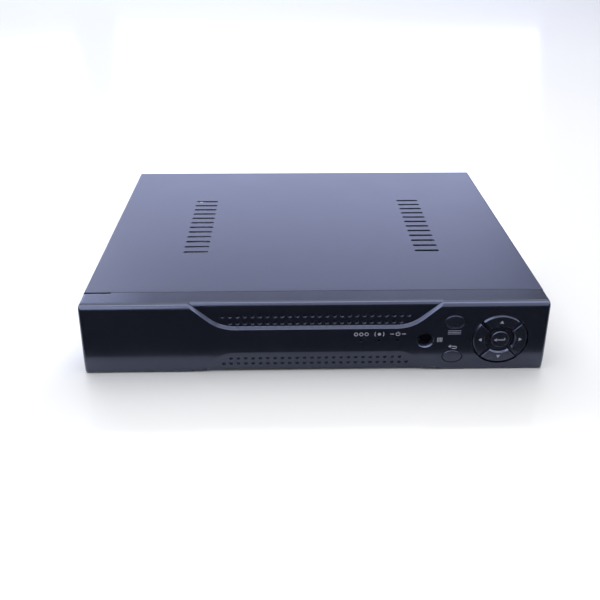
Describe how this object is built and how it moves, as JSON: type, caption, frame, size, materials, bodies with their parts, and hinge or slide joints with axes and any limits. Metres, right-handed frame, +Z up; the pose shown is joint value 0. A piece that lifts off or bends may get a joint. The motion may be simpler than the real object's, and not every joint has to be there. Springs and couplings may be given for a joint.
{
  "type": "digital video recorder",
  "caption": "Flat desktop video recorder: folded-steel case with slotted cover, black moulded front with direction, menu and escape keys, infrared window, rear sockets and a small fan.",
  "frame": {"origin": "on the table plane under the feet, below the middle of the whole recorder, rear sockets included", "axes": "+X to the right seen from the front, +Y from the front bezel to the rear sockets, +Z up"},
  "size_m": [0.3, 0.2392, 0.051],
  "materials": {
    "painted_case": "satin blue-black powder coat",
    "bezel": "moulded black plastic, semi-gloss",
    "keys": "moulded black plastic, satin",
    "smoked_lens": "dark infrared window, polished",
    "led_lens": "diffused",
    "bare_steel": "zinc-plated sheet",
    "nickel": "nickel-plated",
    "aluminium": "cast and machined",
    "circuit_board": "green solder mask",
    "chip": "moulded epoxy",
    "rubber_feet": "matt",
    "fan_plastic": "satin",
    "socket_plastic": "satin",
    "cable_red": "extruded",
    "cable_grey": "extruded"
  },
  "bodies": {
    "recorder": {"front_bezel": "bezel", "top_cover": "painted_case", "base_chassis": "bare_steel", "rear_panel": "painted_case", "front_board": "circuit_board", "receiver_window": "smoked_lens", "receiver_sensor": "chip", "spare_led": "led_lens", "record_led": "led_lens", "power_led": "led_lens", "main_board": "circuit_board", "processor": "chip", "heat_sink": "aluminium", "hard_disk": "aluminium", "hard_disk_board": "circuit_board", "front_panel_cable": "cable_grey", "drive_data_cable": "cable_red", "drive_power_cable": "cable_grey", "fan_frame": "fan_plastic", "video_in_socket_1": "nickel", "video_in_socket_2": "nickel", "video_in_socket_3": "nickel", "video_in_socket_4": "nickel", "video_out_socket": "nickel", "audio_out_socket": "nickel", "audio_in_sockets": "socket_plastic", "monitor_socket": "bare_steel", "hdmi_socket": "bare_steel", "usb_sockets": "bare_steel", "network_socket": "bare_steel", "power_socket": "socket_plastic", "menu_switch": "chip", "escape_switch": "chip", "up_switch": "chip", "right_switch": "chip", "down_switch": "chip", "left_switch": "chip", "enter_switch": "chip", "cover_screw_left_1": "painted_case", "cover_screw_left_2": "painted_case", "cover_screw_right_1": "painted_case", "cover_screw_right_2": "painted_case", "cover_screw_rear_1": "painted_case", "cover_screw_rear_2": "painted_case", "drive_screw_1": "nickel", "drive_screw_2": "nickel", "drive_screw_3": "nickel", "drive_screw_4": "nickel", "foot_front_left": "rubber_feet", "foot_front_right": "rubber_feet", "foot_rear_left": "rubber_feet", "foot_rear_right": "rubber_feet"},
    "menu_key": {"menu_key": "keys"},
    "escape_key": {"escape_key": "keys"},
    "up_key": {"up_key": "keys"},
    "right_key": {"right_key": "keys"},
    "down_key": {"down_key": "keys"},
    "left_key": {"left_key": "keys"},
    "enter_key": {"enter_key": "keys"},
    "fan_rotor": {"fan_rotor": "fan_plastic"}
  },
  "joints": [
    {"name": "menu_press", "type": "slide", "parent": "recorder", "child": "menu_key", "axis": [0, 1, 0], "range_m": [0, 0.0006], "stiffness_N_per_m": 900},
    {"name": "escape_press", "type": "slide", "parent": "recorder", "child": "escape_key", "axis": [0, 1, 0], "range_m": [0, 0.0006], "stiffness_N_per_m": 900},
    {"name": "up_press", "type": "slide", "parent": "recorder", "child": "up_key", "axis": [0, 1, 0], "range_m": [0, 0.0006], "stiffness_N_per_m": 900},
    {"name": "right_press", "type": "slide", "parent": "recorder", "child": "right_key", "axis": [0, 1, 0], "range_m": [0, 0.0006], "stiffness_N_per_m": 900},
    {"name": "down_press", "type": "slide", "parent": "recorder", "child": "down_key", "axis": [0, 1, 0], "range_m": [0, 0.0006], "stiffness_N_per_m": 900},
    {"name": "left_press", "type": "slide", "parent": "recorder", "child": "left_key", "axis": [0, 1, 0], "range_m": [0, 0.0006], "stiffness_N_per_m": 900},
    {"name": "enter_press", "type": "slide", "parent": "recorder", "child": "enter_key", "axis": [0, 1, 0], "range_m": [0, 0.0006], "stiffness_N_per_m": 900},
    {"name": "fan_spin", "type": "hinge", "parent": "recorder", "child": "fan_rotor", "pos_m": [-0.112, 0.09903, 0.0275], "axis": [0, 1, 0], "continuous": true}
  ]
}
